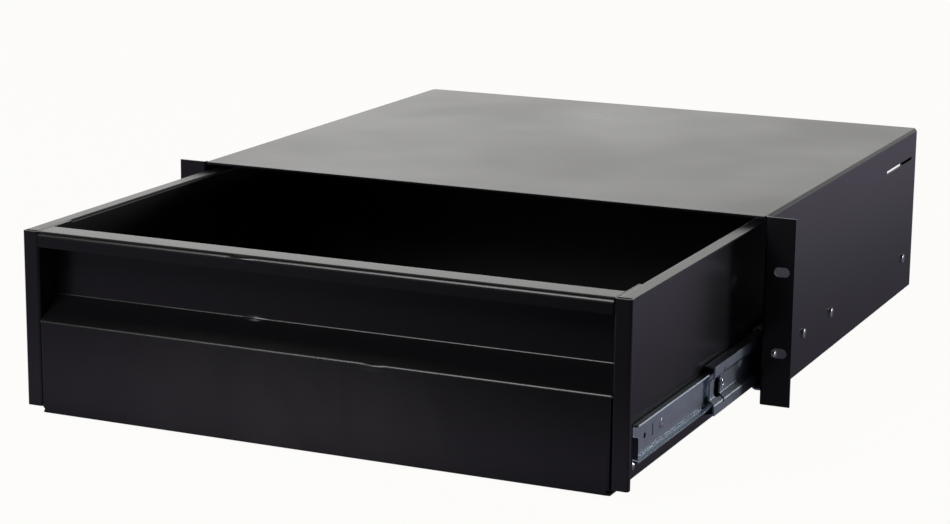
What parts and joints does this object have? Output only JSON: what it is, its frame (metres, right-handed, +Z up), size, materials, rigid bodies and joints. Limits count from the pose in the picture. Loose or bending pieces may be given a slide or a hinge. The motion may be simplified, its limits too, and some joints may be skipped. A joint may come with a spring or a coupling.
{
  "type": "sliding rack drawer",
  "caption": "Rack-mounted storage drawer: an open-bottomed chassis with rack ears and a folded sheet drawer with a recessed pull, on full-extension ball slides.",
  "frame": {"origin": "centre of the four ear slots, on the plane of the rack ears' front faces", "axes": "+X to the right seen from the front, +Z up; the drawer opens towards -Y"},
  "size_m": [0.4826, 0.645, 0.1324],
  "materials": {
    "black_powder_coat": "satin black powder coat over folded steel",
    "zinc_slide": "bright zinc plate, clear passivated, cold-rolled",
    "stamped_retainer": "stamped steel strip, zinc plated",
    "bearing_steel": "polished bearing steel",
    "zinc_screw": "zinc plated screws and rivets",
    "black_nylon": "moulded black nylon"
  },
  "bodies": {
    "chassis": {"chassis_shell": "black_powder_coat", "slide_outer_right": "zinc_slide", "side_screws_right": "zinc_screw", "slide_bumper_right": "black_nylon", "slide_outer_left": "zinc_slide", "side_screws_left": "zinc_screw", "slide_bumper_left": "black_nylon"},
    "drawer": {"drawer_tray": "black_powder_coat", "drawer_front": "black_powder_coat", "drawer_back": "black_powder_coat", "front_rivets": "zinc_screw", "back_rivets": "zinc_screw", "slide_inner_right": "zinc_slide", "drawer_screws_right": "zinc_screw", "slide_inner_left": "zinc_slide", "drawer_screws_left": "zinc_screw"},
    "middle_right": {"slide_middle_right": "zinc_slide", "latch_eyelet_right": "zinc_screw"},
    "outer_cage_right": {"outer_ball_cage_right": "stamped_retainer", "outer_balls_right": "bearing_steel"},
    "inner_cage_right": {"inner_ball_cage_right": "stamped_retainer", "inner_balls_right": "bearing_steel"},
    "middle_left": {"slide_middle_left": "zinc_slide", "latch_eyelet_left": "zinc_screw"},
    "outer_cage_left": {"outer_ball_cage_left": "stamped_retainer", "outer_balls_left": "bearing_steel"},
    "inner_cage_left": {"inner_ball_cage_left": "stamped_retainer", "inner_balls_left": "bearing_steel"}
  },
  "joints": [
    {"name": "drawer_slide", "type": "slide", "parent": "chassis", "child": "drawer", "axis": [0, -1, 0], "range_m": [-0.245, 0.11]},
    {"name": "middle_right_slide", "type": "slide", "parent": "chassis", "child": "middle_right", "axis": [0, -1, 0], "range_m": [-0.123, 0.0555]},
    {"name": "outer_cage_right_slide", "type": "slide", "parent": "chassis", "child": "outer_cage_right", "axis": [0, -1, 0], "range_m": [-0.06175, 0.028]},
    {"name": "inner_cage_right_slide", "type": "slide", "parent": "chassis", "child": "inner_cage_right", "axis": [0, -1, 0], "range_m": [-0.18425, 0.083]},
    {"name": "middle_left_slide", "type": "slide", "parent": "chassis", "child": "middle_left", "axis": [0, -1, 0], "range_m": [-0.123, 0.0555]},
    {"name": "outer_cage_left_slide", "type": "slide", "parent": "chassis", "child": "outer_cage_left", "axis": [0, -1, 0], "range_m": [-0.06175, 0.028]},
    {"name": "inner_cage_left_slide", "type": "slide", "parent": "chassis", "child": "inner_cage_left", "axis": [0, -1, 0], "range_m": [-0.18425, 0.083]}
  ],
  "couplings": [
    {"joint": "middle_right_slide", "follows": "drawer_slide", "ratio": 0.5},
    {"joint": "outer_cage_right_slide", "follows": "drawer_slide", "ratio": 0.25},
    {"joint": "inner_cage_right_slide", "follows": "drawer_slide", "ratio": 0.75},
    {"joint": "middle_left_slide", "follows": "drawer_slide", "ratio": 0.5},
    {"joint": "outer_cage_left_slide", "follows": "drawer_slide", "ratio": 0.25},
    {"joint": "inner_cage_left_slide", "follows": "drawer_slide", "ratio": 0.75}
  ]
}
